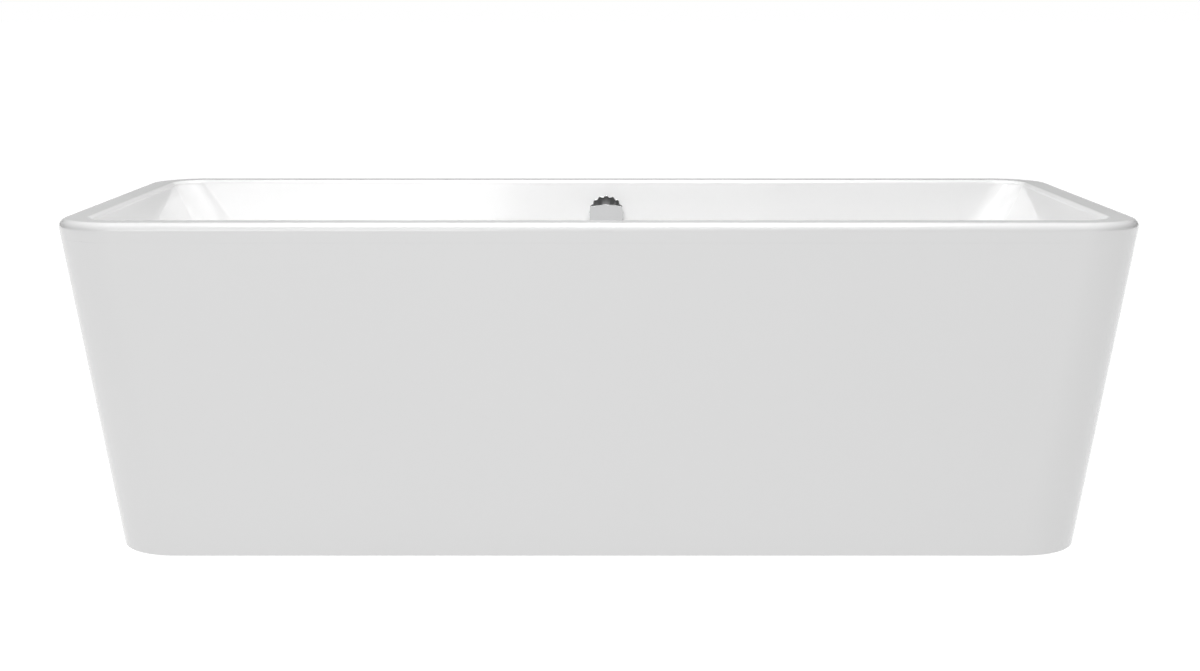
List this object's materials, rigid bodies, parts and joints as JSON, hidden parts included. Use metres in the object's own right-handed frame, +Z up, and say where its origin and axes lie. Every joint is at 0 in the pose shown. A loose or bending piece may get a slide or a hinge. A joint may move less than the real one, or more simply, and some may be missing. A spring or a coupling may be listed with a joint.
{
  "type": "freestanding bathtub",
  "caption": "Freestanding double-wall acrylic bathtub, tapered rectangular form with soft corners, knob-operated pop-up waste and overflow, on levelling feet.",
  "frame": {"origin": "on the floor under the middle of the tub, the bottom centre of its bounding box", "axes": "+X along the tub, +Y from the front to the overflow's back wall, +Z up"},
  "size_m": [1.8, 0.8, 0.58],
  "materials": {
    "acrylic": "high gloss sanitary white",
    "chrome": "polished chrome plate on brass",
    "zinc_steel": "galvanised or zinc-plated steel",
    "board": "raw moisture-resistant chipboard",
    "black_plastic": "moulded black polypropylene",
    "white_plastic": "moulded white polypropylene",
    "rubber": "matt EPDM rubber"
  },
  "bodies": {
    "tub": {"basin_shell": "acrylic", "board_screw_1": "zinc_steel", "board_screw_2": "zinc_steel", "board_screw_3": "zinc_steel", "board_screw_4": "zinc_steel", "cable_nut_overflow": "black_plastic", "cable_nut_waste": "black_plastic", "control_cable": "black_plastic", "crossbar_end_cap_back_left": "black_plastic", "crossbar_end_cap_back_right": "black_plastic", "crossbar_end_cap_front_left": "black_plastic", "crossbar_end_cap_front_right": "black_plastic", "floor_board": "board", "foot_lock_nut_back_left": "zinc_steel", "foot_lock_nut_back_right": "zinc_steel", "foot_lock_nut_centre": "zinc_steel", "foot_lock_nut_front_left": "zinc_steel", "foot_lock_nut_front_right": "zinc_steel", "foot_weld_nut_back_left": "zinc_steel", "foot_weld_nut_back_right": "zinc_steel", "foot_weld_nut_centre": "zinc_steel", "foot_weld_nut_front_left": "zinc_steel", "foot_weld_nut_front_right": "zinc_steel", "frame_crossbar_centre": "zinc_steel", "frame_crossbar_left": "zinc_steel", "frame_crossbar_right": "zinc_steel", "frame_rail_back": "zinc_steel", "frame_rail_front": "zinc_steel", "lever_pin": "zinc_steel", "outer_skirt": "acrylic", "outlet_nut": "black_plastic", "outlet_washer": "rubber", "overflow_body": "black_plastic", "overflow_collar": "chrome", "overflow_gasket": "rubber", "overflow_pipe": "white_plastic", "pipe_nut_overflow": "black_plastic", "pipe_nut_waste": "black_plastic", "tailpipe": "chrome", "waste_body": "black_plastic", "waste_flange": "chrome", "waste_gasket_bottom": "rubber", "waste_gasket_top": "rubber"},
    "knob": {"overflow_knob": "chrome", "knob_spindle": "zinc_steel", "cable_cam": "white_plastic"},
    "plug": {"plug_cap": "chrome", "plug_seal": "rubber", "plug_stem": "zinc_steel"},
    "plug_lever": {"lift_lever": "white_plastic"},
    "foot_pad_front_left_body": {"foot_pad_front_left": "black_plastic"},
    "foot_rod_front_left_body": {"foot_rod_front_left": "zinc_steel"},
    "foot_pad_front_right_body": {"foot_pad_front_right": "black_plastic"},
    "foot_rod_front_right_body": {"foot_rod_front_right": "zinc_steel"},
    "foot_pad_back_left_body": {"foot_pad_back_left": "black_plastic"},
    "foot_rod_back_left_body": {"foot_rod_back_left": "zinc_steel"},
    "foot_pad_back_right_body": {"foot_pad_back_right": "black_plastic"},
    "foot_rod_back_right_body": {"foot_rod_back_right": "zinc_steel"},
    "foot_pad_centre_body": {"foot_pad_centre": "black_plastic"},
    "foot_rod_centre_body": {"foot_rod_centre": "zinc_steel"}
  },
  "joints": [
    {"name": "knob_turn", "type": "hinge", "parent": "tub", "child": "knob", "pos_m": [0.0146, 0.33654, 0.514], "axis": [0, -0.9841, 0.1775], "range_deg": [0, 90]},
    {"name": "plug_lift", "type": "slide", "parent": "tub", "child": "plug", "axis": [0, 0, 1], "range_m": [0, 0.0106]},
    {"name": "lever_swing", "type": "hinge", "parent": "tub", "child": "plug_lever", "pos_m": [-0.01269, 0, 0.056], "axis": [0, -1, 0], "range_deg": [0, 50]},
    {"name": "foot_height_front_left", "type": "slide", "parent": "tub", "child": "foot_pad_front_left_body", "axis": [0, 0, -1], "range_m": [-0.008, 0.01]},
    {"name": "foot_screw_front_left", "type": "hinge", "parent": "foot_pad_front_left_body", "child": "foot_rod_front_left_body", "pos_m": [-0.48, -0.27, 0], "axis": [0, 0, -1], "range_deg": [-1646, 2058]},
    {"name": "foot_height_front_right", "type": "slide", "parent": "tub", "child": "foot_pad_front_right_body", "axis": [0, 0, -1], "range_m": [-0.008, 0.01]},
    {"name": "foot_screw_front_right", "type": "hinge", "parent": "foot_pad_front_right_body", "child": "foot_rod_front_right_body", "pos_m": [0.48, -0.27, 0], "axis": [0, 0, -1], "range_deg": [-1646, 2058]},
    {"name": "foot_height_back_left", "type": "slide", "parent": "tub", "child": "foot_pad_back_left_body", "axis": [0, 0, -1], "range_m": [-0.008, 0.01]},
    {"name": "foot_screw_back_left", "type": "hinge", "parent": "foot_pad_back_left_body", "child": "foot_rod_back_left_body", "pos_m": [-0.48, 0.27, 0], "axis": [0, 0, -1], "range_deg": [-1646, 2058]},
    {"name": "foot_height_back_right", "type": "slide", "parent": "tub", "child": "foot_pad_back_right_body", "axis": [0, 0, -1], "range_m": [-0.008, 0.01]},
    {"name": "foot_screw_back_right", "type": "hinge", "parent": "foot_pad_back_right_body", "child": "foot_rod_back_right_body", "pos_m": [0.48, 0.27, 0], "axis": [0, 0, -1], "range_deg": [-1646, 2058]},
    {"name": "foot_height_centre", "type": "slide", "parent": "tub", "child": "foot_pad_centre_body", "axis": [0, 0, -1], "range_m": [-0.008, 0.01]},
    {"name": "foot_screw_centre", "type": "hinge", "parent": "foot_pad_centre_body", "child": "foot_rod_centre_body", "pos_m": [0.17, 0, 0], "axis": [0, 0, -1], "range_deg": [-1646, 2058]}
  ],
  "couplings": [
    {"joint": "plug_lift", "follows": "knob_turn", "m_per_rad": 0.006748},
    {"joint": "lever_swing", "follows": "knob_turn", "ratio": 0.5555},
    {"joint": "foot_screw_front_left", "follows": "foot_height_front_left", "rad_per_m": 3590.4},
    {"joint": "foot_screw_front_right", "follows": "foot_height_front_right", "rad_per_m": 3590.4},
    {"joint": "foot_screw_back_left", "follows": "foot_height_back_left", "rad_per_m": 3590.4},
    {"joint": "foot_screw_back_right", "follows": "foot_height_back_right", "rad_per_m": 3590.4},
    {"joint": "foot_screw_centre", "follows": "foot_height_centre", "rad_per_m": 3590.4}
  ]
}
